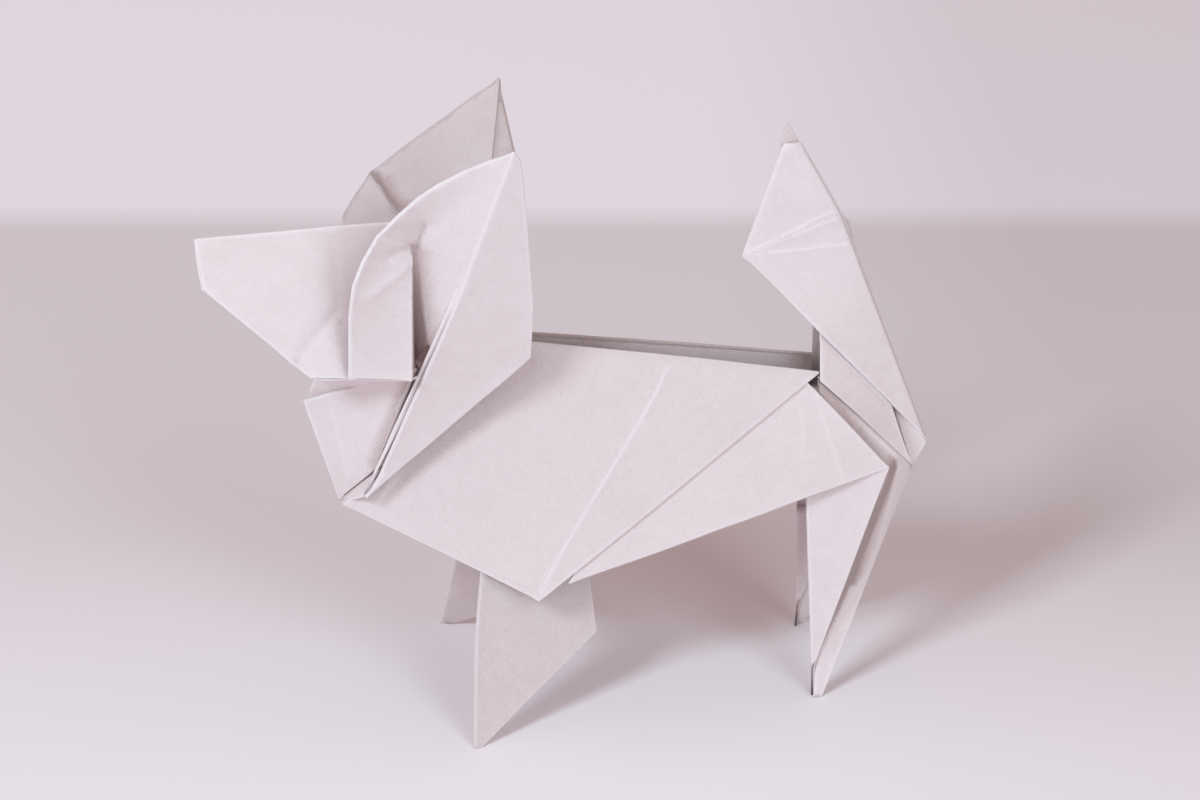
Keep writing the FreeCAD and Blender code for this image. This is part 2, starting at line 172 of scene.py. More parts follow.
# points of the right half that stray from the mirror of the left: along and up
farShifts = {
    "earTip": (0.7, 0.4), "earEdgeA": (0.2, 0.0), "earEdgeB": (0.0, -0.5), "earEdgeC": (0.0, -0.5),
    "earEdgeD": (-0.4, -0.7), "earEdgeE": (-0.1, -0.2), "earEdgeF": (0.5, 0.6),
    "earEdgeG": (0.4, 0.6), "earEdgeH": (0.1, 1.1), "earEdgeJ": (-0.4, 0.0),
    "pinch": (-0.5, -1.5), "collarMid": (1.35, 0.0), "rump": (1.0, -0.2), "hip": (-0.5, -1.2),
    "forefoot": (-1.5, 0.0), "foreMid": (-0.6, 0.0), "shin": (0.9, 0.0), "shinTop": (0.8, 0.0),
    "shinMark": (0.9, 0.0), "lip": (0.0, -1.2), "lipUnder": (0.0, -0.9), "baseLow": (0.0, -1.2),
    "tailBend": (-0.5, -0.4), "tailTipBack": (-0.7, -0.8),
    **dict.fromkeys(("hindfoot", "footSide", "heel", "heelLow", "heelInside"), (1.3, 0.0)),
}
farPoints = {name: points[name] + Vector((x, 0, z)) for name, (x, z) in farShifts.items()}
farPoints["rim"] = onPlane(collarPlane, 10.3, 57.8)
farPoints["collarTop"] = onPlane(collarPlane, 5.6, 62.1)
farPoints["stripTop"] = points["stripTop"] + farPoints["collarTop"] - points["collarTop"]
farPoints["rimHigh"] = onPlane("earTip rim collarTop", 9.5, 70.8, source=farPoints)


def corner(name, isFar):
    if not isFar:
        return points[name].copy()
    p = farPoints.get(name, points[name])
    return Vector((p.x, -p.y, p.z))


def alongRim(names, tone):
    # the same painted shade on each edge of a rim
    names = names.split()
    return {first + " " + second: tone for first, second in zip(names, names[1:])}


# Every flap of the left half. The right half mirrors it, apart from what starts with far.
# corners: in order round it; plane: three corners that its lines are laid on, if not the
#     first three; thin: a single layer; oneSide: not mirrored
# softFold: a bend across it; bulge: how far its middle swells; peek: how far the inner
#     layer shows past an edge
# lines: pressed lines, each with its path, height, width and wear. A point of a path is
#     (along, up), or (along, out, up) off the plane
# shade: painted shade over all of it, 1 for the painted shade colour and 2 for the
#     darkest; wear: how worn its edges are, with a painted highlight
# tones: painted shade, darker towards an edge or a corner, each with how far, how dark,
#     and the part of that way which is even; insideTones: on the right half, only inside
flaps = {
    "snout": {
        "corners": "nose brow crown temple cheek jaw muzzle", "softFold": "brow cheek",
        "plane": "nose brow cheek", "bulge": 0.15,
        "peek": {"cheek jaw": 0.35, "nose muzzle": 0.3, "muzzle jaw": 0.1},
        "lines": [([(-19.5, 51.5), (-17.0, 54.2), (-14.6, 56.5)], -0.40, 1.1, 0.0),
                  ([(-12.6, 65.0), (-12.4, 58.0), (-12.2, 52.5)], -0.12, 2.0, 0.0)],
        "tones": {"temple cheek": (2.5, 0.12)}},
    # the right ear's inner face is painted in shade, with painted dark lines at its crease and rim
    "earFront": {
        "corners": "earBase earFoot earEdgeK earEdgeJ earEdgeH earEdgeG earEdgeF pinch",
        "plane": "earFoot pinch earBase", "insideTones": True,
        "farShade": 0.08, "farWear": 0.3,
        "lines": [([(-10.5, 60.8), (-7.8, 62.4), (-5.6, 63.8)], 0.20, 0.9, 0.15),
                  ([(-7.9, 65.8), (-6.3, 66.0), (-5.3, 65.7)], -0.55, 0.9, 0.0)],
        "tones": {"pinch pinch": (0.8, 0.6)},
        "farTones": {"earEdgeF pinch": (0.45, 0.7), "pinch pinch": (1.6, 0.5),
                     **alongRim("earEdgeF earEdgeG earEdgeH", (0.25, 0.55))}},
    "earCup": {
        "corners": "pinch earEdgeF earEdgeE earEdgeD earEdgeC earEdgeB earEdgeA earTip "
                   "collarTop collarMid slotRim slotHigh", "plane": "pinch earTip collarTop",
        "softFold": "pinch earTip", "farSoftFold": "", "insideTones": True,
        "farShade": 0.08, "farWear": 0.3,
        "lines": [([(-4.5, 66.0), (-4.0, 67.8), (-3.5, 69.2)], -0.55, 1.0, 0.0)],
        "tones": {"slotRim slotHigh": (2.2, 0.8), "pinch pinch": (0.9, 0.7)},
        "farTones": {"pinch earEdgeF": (1.4, 1.15, 0.4), "pinch pinch": (2.0, 0.6),
                     **alongRim("earEdgeF earEdgeE earEdgeD earEdgeC earEdgeB earEdgeA earTip",
                                (0.25, 0.55))}},
    # the slot and well behind the ear are painted in shade, darkest in the well
    "earSlot": {"corners": "pinch slotHigh slotRim well", "shade": 0.9, "wear": 0.2},
    "earWell": {"corners": "pinch well earBase", "shade": 1.1},
    "earBack": {
        "corners": "earTip earTipBack rimHigh rim rimLow collarTip collarEdge collarTop",
        "plane": "collarTop rim rimLow", "softFold": "collarTop rim", "insideTones": True,
        "peek": {"rimLow collarTip": 0.2}, "farShade": 0.5, "farWear": 0.4,
        "farTones": {"earTip collarTop": (0.7, 0.8), "earTipBack rimHigh": (0.25, 0.6)}},
    "strip": {"corners": "stripTop collarTop collarMid stripEnd stripLow", "thin": True},
    # the chin, neck and lens are painted darker along the edges that lie over or beside them
    "chin": {
        "corners": "chinTop throatTuck neckTuck earBase cheek", "thin": True,
        "tones": {"throatTuck neckTuck": (1.4, 0.7)}},
    "neck": {
        "corners": "throat neckTop neckLow chest",
        "lines": [([(-15.3, 43.4), (-13.9, 32.6)], 0.05, 0.7, 0.2),
                  ([(-12.0, 40.5), (-13.4, 34.2)], -0.04, 0.5, 0.0),
                  ([(-5.6, 47.2), (-7.4, 41.9), (-9.6, 36.0)], -0.45, 1.8, 0.0)],
        "tones": {"neckTop neckLow": (1.9, 0.7, 0.35)}},
    "lens": {
        "corners": "chest lensTop stripEnd keel", "thin": True,
        "tones": {"chest lensTop": (0.45, 1.2)}},
    "neckBack": {"corners": "neckSide backFront breast neckLow", "thin": True, "shade": 0.35},
    "napeUpper": {"corners": "crown pinch well nape", "thin": True},
    "napeLower": {"corners": "well neckSide backFront nape", "thin": True},
    # the side is painted a little darker, with a painted shadow below the collar's lower edge
    "side": {
        "corners": "belly breastTip breast backFront rump",
        "peek": {"belly rump": 0.16}, "shade": 0.13,
        "tones": {"backFront rump": (0.6, 0.25), "collarShadeTop collarShadeLow": (3.4, 0.45)},
        "farTones": {"backFront rump": (0.9, 0.9)},
        "lines": [([(26.2, 47.3), (24.9, 44.3), (18.4, 33.3), (12.6, 23.6), (10.1, 18.9)],
                   0.05, 0.45, 0.8)]},
    # the hem and sunk walls are painted in shade, near black at the rump where a gap shows only shade
    "hem": {
        "corners": "belly rump hemBack hemFront", "thin": True,
        "wear": 0.3, "tones": {"rump rump": (3.4, 1.9, 0.5)}},
    "sinkWall": {
        "corners": "backFront rump sinkRump sinkFront", "thin": True, "shade": 0.4,
        "wear": 0.0, "tones": {"rump sinkRump": (8.0, 0.65), "rump rump": (2.9, 1.9, 0.75)},
        "farTones": {"rump rump": (3.4, 0.75, 0.4)}},
    "sinkFloor": {"corners": "sinkFront sinkRump sinkEnd nape", "thin": True, "shade": 0.8, "wear": 0.0},
    "sinkNose": {"corners": "backFront sinkFront nape", "thin": True, "shade": 0.7},
    "thigh": {
        "corners": "thighFront knee hip thighTopBack thighTopFront", "shade": 0.06,
        "peek": {"thighFront knee": 0.1},
        "lines": [([(45.9, 41.5), (49.4, 30.1)], 0.05, 0.5, 0.35),
                  ([(44.4, 38.9), (44.3, 33.9)], 0.04, 0.5, 0.2)]},
    # the foreleg is painted darker for the shade of the body over it
    "foreleg": {
        "corners": "forefoot foreMid foreEdge foreTop foreTail foreBack foreCorner",
        "shade": 0.30, "farShade": 0.2},
    "shank": {
        "corners": "hindfoot shin shinTop shinTopBack knee footSide",
        "tones": {"hindfoot footSide": (0.45, 1.5, 0.4)},
        "farTones": {"shin shinTop": (9.0, 0.5), "shinMark shinMark": (1.4, 1.4, 0.5)}},
    # painted shade runs along the rear strip beside the shank's edge and under the tail base
    "rearStrip": {
        "corners": "lip spineLow heel heelLow heelInside kneeInside lipUnder", "thin": True,
        "plane": "lip spineLow kneeInside", "softFold": "spineLow kneeInside", "shade": 0.05,
        "farWear": 0.2,
        "lines": [([(46.9, 41.6), (52.2, 35.8), (57.1, 30.5)], 0.14, 0.7, 0.9),
                  ([(57.7, 1.8, 29.2), (56.4, 2.7, 24.1), (54.9, 3.7, 19.1),
                    (53.0, 5.0, 14.9), (50.4, 7.1, 11.4), (47.8, 9.0, 7.9)],
                   0.03, 0.36, 0.4),
                  ([(56.8, 2.5, 29.4), (53.9, 4.6, 21.6), (50.8, 6.8, 14.2), (48.8, 8.3, 10.4)],
                   0.0, 0.5, 0.0)],
        "tones": {"lipUnder kneeInside": (3.0, 0.95, 0.2), "bandTop bandMid": (1.35, 1.18, 0.75),
                  "bandMid bandLow": (1.1, 1.15, 0.4), "lip spineLow": (0.35, 1.05)},
        "farTones": {"lip lip": (3.0, 1.5)}},
    "tailBase": {
        "corners": "baseTop baseLow spineLow baseBack", "thin": True, "shade": 0.05,
        "insideTones": True, "tones": {"baseTop baseBack": (1.3, 0.25)},
        "farShade": 0.7, "farWear": 0.2, "farTones": {"baseLow baseLow": (4.5, 1.0)}},
    # the rear is painted dark in the hollow under the tail
    "rear": {
        "corners": "rearDeep spineLow spineHigh", "thin": True,
        "tones": {"rearDeep spineLow": (1.8, 0.6), "rearTop rearTop": (4.6, 1.35, 0.15)}},
    "tail": {
        "corners": "tailTip tailCorner tailWrap spineHigh tailBend tailTipBack",
        "farCorners": "tailTip tailCorner tailWrap spineHigh bulgeEnd bulgeMid bulgeTop tailTipBack",
        "peek": {"spineHigh tailBend": 0.25, "tailBend tailTipBack": 0.2}, "farWear": 0.2,
        "tones": {"tailBend tailTipBack": (0.2, 0.4), "spineHigh tailBend": (0.2, 0.4)},
        "farTones": {"tailBend tailTipBack": (0.2, 0.0), "spineHigh tailBend": (0.2, 0.0)},
        "lines": [([(37.4, 60.0), (48.1, 65.4)], 0.06, 0.45, 0.7),
                  ([(38.6, 60.2), (48.4, 64.2)], 0.05, 0.4, 0.5),
                  ([(37.6, 59.7), (50.0, 60.8)], 0.05, 0.4, 0.6)]},
    "web": {"corners": "webFront webBack webLow webHigh", "thin": True, "oneSide": True},
}
middleNames = {name for name, p in points.items() if abs(p.y) < 1e-9}
owners = {}    # how many flaps share an edge
for flap in flaps.values():
    names = flap["corners"].split()
    for first, second in zip(names, names[1:] + names[:1]):
        key = frozenset((first, second))
        owners[key] = owners.get(key, 0) + 1


class Shell:
    def __init__(self):
        self.verts = []
        self.faces = []
        # wear: worn edges, with a painted highlight where edges catch the light
        self.wear = []
        self.crease = []
        # shade: painted shade at each point, darker where shade falls
        self.shade = []
        self.flapShade = 0.0
        self.flapWearAndHighlight = 1.0

    def add(self, p, wear, crease, shade):
        self.verts.append(p)
        self.wear.append(wear * self.flapWearAndHighlight)
        self.crease.append(crease)
        self.shade.append(shade)
        return len(self.verts) - 1


noise.seed_set(paper["waveSeed"])


def wave(p):
    slow = noise.noise_vector(p / paper["waveLength"])
    fine = noise.noise_vector(p / paper["rippleLength"] + Vector((7, 3, 5)))
    return slow * paper["waveHeight"] + fine * paper["rippleHeight"]


def newell(loop):
    total = Vector((0, 0, 0))
    for i, p in enumerate(loop):
        total += p.cross(loop[(i + 1) % len(loop)])
    return total.normalized()


def insideLoop(x, y, loop2d):
    inside = False
    for i in range(len(loop2d)):
        x1, y1 = loop2d[i - 1]
        x2, y2 = loop2d[i]
        if (y1 > y) != (y2 > y) and x < (x2 - x1) * (y - y1) / (y2 - y1) + x1:
            inside = not inside
    return inside


def toSegments(x, y, starts, ends):
    p = np.array((x, y))
    run = ends - starts
    t = np.clip(((p - starts) * run).sum(1) / np.maximum((run * run).sum(1), 1e-12), 0, 1)
    return float(np.sqrt((((starts + run * t[:, None]) - p) ** 2).sum(1)).min())


def toLoop(x, y, loop2d):
    return toSegments(x, y, loop2d, np.roll(loop2d, -1, axis=0))


class FlapPlane:
    # the level that a flap lies on, with two directions of its own
    def __init__(self, corners):
        self.normal = newell(corners)
        self.centre = sum(corners, Vector()) / len(corners)
        along = (corners[1] - corners[0]).normalized()
        self.axisU = (along - self.normal * along.dot(self.normal)).normalized()
        self.axisV = self.normal.cross(self.axisU)

    def flat(self, p):
        return ((p - self.centre).dot(self.axisU), (p - self.centre).dot(self.axisV))

    def heightOf(self, p):
        return (p - self.centre).dot(self.normal)

    def point(self, u, v, height):
        return self.centre + self.axisU * u + self.axisV * v + self.normal * height


def rimAlong(corners):
    # points along the edges, the edge that each is on, and which of them are corners
    rim, rimEdge, cornerAt = [], [], set()
    for i, a in enumerate(corners):
        b = corners[(i + 1) % len(corners)]
        steps = max(1, round((b - a).length / paper["spacing"]))
        cornerAt.add(len(rim))
        for k in range(steps):
            rim.append(a.lerp(b, k / steps))
            rimEdge.append(i)
    return rim, rimEdge, cornerAt


def linePoints(flatLines, rim2d):
    # five rows of points along each pressed line
    fromRim, apart = 0.3, 0.02    # the second is squared
    found = []
    for starts, ends, width, *rest in flatLines:
        for a, b in zip(starts, ends):
            run = b - a
            long = float(np.hypot(*run))
            side = np.array((-run[1], run[0])) / long
            steps = max(2, round(long / paper["lineSpacing"]))
            for k in range(steps + 1):
                for shift in (0, width / 2, -width / 2, width, -width):
                    x, y = a + run * k / steps + side * shift
                    if toLoop(x, y, rim2d) < fromRim or not insideLoop(x, y, rim2d):
                        continue
                    if all((x - c[0]) ** 2 + (y - c[1]) ** 2 > apart for c in found):
                        found.append((float(x), float(y)))
    return found


def softFoldPoints(softFold, plane, rim2d):
    # points on a soft fold, each with the height that it keeps
    fromRim = 0.5
    found = []
    if softFold:
        start, end = softFold
        steps = max(2, round((end - start).length / paper["foldSpacing"]))
        for k in range(1, steps):
            p = start.lerp(end, k / steps)
            x, y = plane.flat(p)
            if toLoop(x, y, rim2d) > fromRim and insideLoop(x, y, rim2d):
                found.append(((x, y), plane.heightOf(p)))
    return found


def bandPoints(rim2d, cornerAt, taken):
    # points in the pressed band just inside the edges
    band, second = paper["edgeBand"], paper["edgeBand"] * paper["secondBand"]
    cornerBand, apart, tooSharp = band * 2.0, 0.3, 0.3
    clearAtCorner, clearAtEdge = 0.4, 0.8    # parts of the reach
    found = []
    for i, here in enumerate(rim2d):
        before, after = here - rim2d[i - 1], rim2d[(i + 1) % len(rim2d)] - here
        tangent = after / np.hypot(*after) + before / np.hypot(*before)
        long = np.hypot(*tangent)
        if long < tooSharp:
            continue
        inward = np.array((-tangent[1], tangent[0])) / long
        atCorner = i in cornerAt
        for reach in ((cornerBand,) if atCorner else (band, second)):
            x, y = here + inward * reach
            clear = reach * (clearAtCorner if atCorner else clearAtEdge)
            if insideLoop(x, y, rim2d) and toLoop(x, y, rim2d) > clear:
                if all(abs(x - c[0]) + abs(y - c[1]) > apart for c in taken + found):
                    found.append((float(x), float(y)))
    return found


def gridPoints(rim2d, taken):
    # rows of points over the rest, every other row shifted by half a step
    spacing, rowStep = paper["spacing"], 0.87
    fromRim = paper["edgeBand"] * paper["secondBand"] + spacing * 0.45
    fromTaken = 0.5    # squared
    low, high = rim2d.min(0), rim2d.max(0)
    found = []
    row = 0
    y = low[1] + spacing * 0.5
    while y < high[1]:
        x = low[0] + spacing * (0.25 + 0.5 * (row % 2))
        while x < high[0]:
            if insideLoop(x, y, rim2d) and toLoop(x, y, rim2d) > fromRim:
                if all((x - c[0]) ** 2 + (y - c[1]) ** 2 > fromTaken for c in taken):
                    found.append((x, y))
            x += spacing
        y += spacing * rowStep
        row += 1
    return found


def triangulate(rim2d, inner):
    count = len(rim2d)
    flatPoints = [Vector(p) for p in rim2d] + [Vector(p) for p in inner]
    edges = [(i, (i + 1) % count) for i in range(count)]
    made = delaunay_2d_cdt(flatPoints, edges, [], 1, 1e-5)
    places, madeFaces, sourcesOf = made[0], made[2], made[3]
    index = {source: i for i, sources in enumerate(sourcesOf) for source in sources}
    faces = []
    for face in madeFaces:
        a, b, c = (places[k] for k in face)
        area = (b - a).cross(c - a)
        if abs(area) > 1e-9:
            faces.append(tuple(face) if area > 0 else tuple(reversed(face)))
    return places, faces, index


def followSmoothly(height, given, places, faces, rim2d, bulge):
    # the heights that aren't given follow from those that are, and swell by the bulge
    nearest = 0.05
    near = [set() for _ in places]
    for a, b, c in faces:
        near[a].update((b, c))
        near[b].update((a, c))
        near[c].update((a, b))
    inside = [i for i in range(len(places)) if not given[i] and near[i]]
    if not inside:
        return
    row = {v: k for k, v in enumerate(inside)}
    matrix = np.eye(len(inside))
    known = np.zeros(len(inside))
    for v in inside:
        weights = {o: 1.0 / max((places[v] - places[o]).length, nearest) for o in near[v]}
        whole = sum(weights.values())
        for o, w in weights.items():
            if given[o]:
                known[row[v]] += height[o] * w / whole
            else:
                matrix[row[v], row[o]] -= w / whole
    height[inside] = np.linalg.solve(matrix, known)
    if bulge:
        swell = np.array([toLoop(*places[v], rim2d) for v in inside])
        height[inside] += bulge * (1 - (1 - swell / swell.max()) ** 2)


def standOff(height, places, plane, corners, free, thickness, outward):
    # free edges stand off a little, and less where they meet a shared fold
    ends = corners[1:] + corners[:1]
    flatEdges = [(plane.flat(a), plane.flat(b)) for a, b in zip(corners, ends)]
    loose = [edge for edge, peek in zip(flatEdges, free) if peek is not None]
    shared = [edge for edge, peek in zip(flatEdges, free) if peek is None]
    if not loose:
        return
    looseStarts, looseEnds = (np.array(side) for side in zip(*loose))
    if shared:
        sharedStarts, sharedEnds = (np.array(side) for side in zip(*shared))
    for v, (x, y) in enumerate(places):
        rise = max(0.0, 1 - toSegments(x, y, looseStarts, looseEnds) / paper["liftReach"]) ** 2
        if shared:
            rise *= min(1.0, toSegments(x, y, sharedStarts, sharedEnds) / paper["liftFade"])
        # single layers and double ones have patches of their own
        patch = Vector((x, y, thickness * 40)) / paper["liftPatch"]
        strength = paper["liftEven"] + paper["liftUneven"] * noise.noise(patch)
        height[v] += paper["lift"] * rise * strength * outward


def paintedShadeOver(places, plane, tones, base):
    # painted shade: darker towards each given edge or corner, up to the darkest
    deepest = 2.0
    shade = np.full(len(places), base)
    for start, end, reach, amount, even in tones:
        starts, ends = np.array([plane.flat(start)]), np.array([plane.flat(end)])
        for v, (x, y) in enumerate(places):
            away = toSegments(x, y, starts, ends) / reach
            away = max(0.0, (away - even) / (1 - even))
            if away < 1:
                fall = 1 - away * away * (3 - 2 * away)
                shade[v] = max(shade[v], min(deepest, base + amount * fall))
    return shade


def rimOutline(half, peek, outward):
    # across an edge, as (height, out): round at a shared fold, and two rounded layers at
    # a free edge, with a notch between them
    steps = paper["rimSteps"]
    notch, notchShown, smallPeek = -0.03, 0.02, 0.12
    outline = []
    for j in range(1, steps):
        angle = math.pi * j / steps
        if peek is None:
            outline.append((math.cos(angle) * half, math.sin(angle) * half))
            continue
        if j == steps // 2:
            outline.append((0.0, notch if peek < smallPeek else notchShown))
            continue
        lower = j > steps / 2
        turn = math.pi * (j - (steps // 2 if lower else 0)) / (steps / 2)
        side = half / 2 * (-1 if lower else 1)
        reach = math.sin(turn) * half / 2 + (peek if lower else 0.0)
        outline.append((side + math.cos(turn) * half / 2, reach))
    if outward < 0:
        outline = [(-h, o) for h, o in reversed(outline)]
    return outline


def rimFacing(before, here, after, normal, isCorner):
    # which way the rim faces: one way along an edge, and a fan of them at a sharp corner
    sharp, fanStep = 0.35, 0.45
    outBefore = (here - before).cross(normal).normalized()
    outAfter = (after - here).cross(normal).normalized()
    turn = outBefore.angle(outAfter, 0.0)
    convex = outBefore.cross(outAfter).dot(normal) > 0
    if isCorner and convex and turn > sharp:
        parts = max(1, math.ceil(turn / fanStep))
        return [outBefore.slerp(outAfter, k / parts) for k in range(parts + 1)]
    return [(outBefore + outAfter).normalized()]


def addFlap(shell, corners, free, thickness, bulge=0.0, lines=(), outward=1, softFold=(),
            tones=(), loose=(), insideTones=False):
    # free: for each edge, how far the inner layer peeks out, or None for a shared fold
    # loose: for each edge, whether nothing joins it; outward: which face is outside
    plane = FlapPlane(corners)
    rim, rimEdge, cornerAt = rimAlong(corners)
    count = len(rim)
    rim2d = np.array([plane.flat(p) for p in rim])
    flatLines = []
    for path, lineHeight, width, wear in lines:
        path2d = np.array([plane.flat(p) for p in path])
        flatLines.append((path2d[:-1], path2d[1:], width, lineHeight, wear))
    inner = linePoints(flatLines, rim2d)
    held = {}
    for place, heldHeight in softFoldPoints(softFold, plane, rim2d):
        held[count + len(inner)] = heldHeight
        inner.append(place)
    drawn = list(inner)
    inner += bandPoints(rim2d, cornerAt, inner)
    inner += gridPoints(rim2d, drawn)
    places, faces, index = triangulate(rim2d, inner)
    onRim = [index[i] for i in range(count)]

    height = np.zeros(len(places))
    fixed = np.zeros(len(places), bool)
    for v, p in zip(onRim, rim):
        height[v] = plane.heightOf(p)
        fixed[v] = True
    given = fixed.copy()
    for source, heldHeight in held.items():
        height[index[source]] = heldHeight
        given[index[source]] = True
    followSmoothly(height, given, places, faces, rim2d, bulge * outward)
    standOff(height, places, plane, corners, free, thickness, outward)
    crease = np.zeros(len(places))
    fall = paper["creaseFall"]
    for v, (x, y) in enumerate(places):
        for starts, ends, width, lineHeight, wear in flatLines:
            away = toSegments(x, y, starts, ends)
            if away < width and not fixed[v]:
                height[v] += lineHeight * (1 - away / width) * outward
                crease[v] = max(crease[v], wear * max(0.0, 1 - fall * away / width))
    # painted shade over the flap
    shade = paintedShadeOver(places, plane, tones, shell.flapShade)

    middle = []
    for (u, v), h in zip(places, height):
        p = plane.point(u, v, h)
        middle.append(p + wave(p))
    normals = [Vector((0, 0, 0)) for _ in places]
    for a, b, c in faces:
        n = (middle[b] - middle[a]).cross(middle[c] - middle[a])
        for k in (a, b, c):
            normals[k] += n
    normals = [n.normalized() if n.length > 0 else plane.normal for n in normals]

    # loose edges are drawn in, so that their rounded rim ends at the given line
    half = thickness / 2
    if loose:
        atLine = list(middle)
        for i, v in enumerate(onRim):
            parts = loose[rimEdge[i - 1]] + loose[rimEdge[i]]
            if parts:
                run = atLine[onRim[(i + 1) % count]] - atLine[onRim[i - 1]]
                outwards = run.cross(normals[v]).normalized()
                middle[v] = atLine[v] - outwards * half * paper["drawnIn"] * parts

    top, bottom = [], []
    for i, p in enumerate(middle):
        wear = paper["edgeWear"] if fixed[i] else 0.0
        # with insideTones the right half's painted shade lies on its inner face only
        tone = [shade[i], shade[i]]
        if insideTones:
            tone[0 if outward > 0 else 1] = 0.0
        top.append(shell.add(p + normals[i] * half, wear, crease[i], tone[0]))
        bottom.append(shell.add(p - normals[i] * half, wear, crease[i], tone[1]))
    for a, b, c in faces:
        shell.faces.append((top[a], top[b], top[c]))
        shell.faces.append((bottom[c], bottom[b], bottom[a]))

    columns = []
    for i, v in enumerate(onRim):
        here, normal = middle[v], normals[v]
        before, after = middle[onRim[i - 1]], middle[onRim[(i + 1) % count]]
        one, two = free[rimEdge[i - 1]], free[rimEdge[i]]
        peek = None if one is None or two is None else min(one, two)
        outline = rimOutline(half, peek, outward)
        # the rim takes full wear with its painted highlight, and the painted shade of its point
        for out in rimFacing(before, here, after, normal, i in cornerAt):
            column = [top[v]]
            for h, o in outline:
                column.append(shell.add(here + normal * h + out * o, 1.0, 0.0, shade[v]))
            column.append(bottom[v])
            columns.append(column)
    for one, two in zip(columns, columns[1:] + columns[:1]):
        for j in range(paper["rimSteps"]):
            ring = [one[j], one[j + 1], two[j + 1], two[j]]
            ring = [v for k, v in enumerate(ring) if v != ring[k - 1]]
            if len(ring) > 2:
                shell.faces.append(tuple(ring))


def setting(flap, name, isFar, usual=None):
    # the right half's own value where it has one
    farName = "far" + name[0].upper() + name[1:]
    if isFar and farName in flap:
        return flap[farName]
    return flap.get(name, usual)


shell = Shell()
for flap in flaps.values():
    thin = flap.get("thin", False)
    for isFar in ((False,) if flap.get("oneSide") else (False, True)):
        names = setting(flap, "corners", isFar).split()
        if isFar:
            names.reverse()
        corners = [corner(n, isFar) for n in names]
        peeks = flap.get("peek", {})
        free = []
        loose = []
        for first, second in zip(names, names[1:] + names[:1]):
            onMiddleLine = first in middleNames and second in middleNames
            isLoose = owners.get(frozenset((first, second)), 1) < 2 and not onMiddleLine
            loose.append(isLoose)
            wanted = peeks.get(first + " " + second, peeks.get(second + " " + first))
            if wanted is None and not thin:
                wanted = paper["peek"]
            free.append(wanted if isLoose else None)
        lines = []
        if not isFar:
            for path, height, width, wear in flap.get("lines", ()):
                path3d = [Vector((p[0], -p[1], p[2])) if len(p) == 3 else
                          onPlane(flap.get("plane", flap["corners"]), *p) for p in path]
                lines.append((path3d, height, width, wear))
        toneEdges = dict(flap.get("tones", {}))
        if isFar:
            toneEdges.update(flap.get("farTones", {}))
        tones = []
        for edge, (reach, amount, *even) in toneEdges.items():
            start, end = (corner(n, isFar) for n in edge.split())
            tones.append((start, end, reach, amount, even[0] if even else 0.0))
        faceOut = newell(corners).y * (1 if isFar else -1)
        softFold = [corner(n, isFar) for n in setting(flap, "softFold", isFar, "").split()]
        shell.flapShade = setting(flap, "shade", isFar, 0.0)
        shell.flapWearAndHighlight = setting(flap, "wear", isFar, 1.0)
        addFlap(shell, corners, free, paper["thinThickness" if thin else "thickness"],
                flap.get("bulge", 0.0), lines, 1 if faceOut > 0 else -1, softFold, tones,
                loose, isFar and flap.get("insideTones", False))

# two small flaps that lie across the middle: the blunt end of the nose and the tail's point
shell.flapShade = 0.0
shell.flapWearAndHighlight = 0.5
addFlap(shell, [corner("nose", False), corner("muzzle", False), corner("muzzle", True)],
        [None] * 3, paper["thinThickness"])
# the tail's point is painted in shade
shell.flapShade = 0.3
shell.flapWearAndHighlight = 0.3
addFlap(shell, [corner(n, True) for n in ("pointLeft", "tailPoint", "pointRight")],
        [None] * 3, paper["thinThickness"])
print("flaps made:", len(shell.verts), "points")

mesh = bpy.data.meshes.new("foldedPaper")
mesh.from_pydata([((p.x - toMiddle) / perMetre, p.y / perMetre, p.z / perMetre) for p in shell.verts],
                 [], shell.faces)
# the third attribute carries the painted shade of recesses, gaps and shadowed flaps
for name, values in (("foldWearAndHighlight", shell.wear), ("creaseLine", shell.crease), ("paintedShade", shell.shade)):
    mesh.attributes.new(name, "FLOAT", "POINT").data.foreach_set("value", values)
dog = bpy.data.objects.new("foldedPaper", mesh)
scene.collection.objects.link(dog)

# the feet are cut level where they stand
bm = bmesh.new()
bm.from_mesh(mesh)
bmesh.ops.bisect_plane(bm, geom=bm.verts[:] + bm.edges[:] + bm.faces[:], dist=1e-8,
                       plane_co=(0, 0, 0), plane_no=(0, 0, 1), clear_inner=True)
bmesh.ops.holes_fill(bm, edges=[e for e in bm.edges if e.is_boundary])
print("open edges:", sum(1 for e in bm.edges if not e.is_manifold))
bm.to_mesh(mesh)
bm.free()
mesh.shade_smooth()


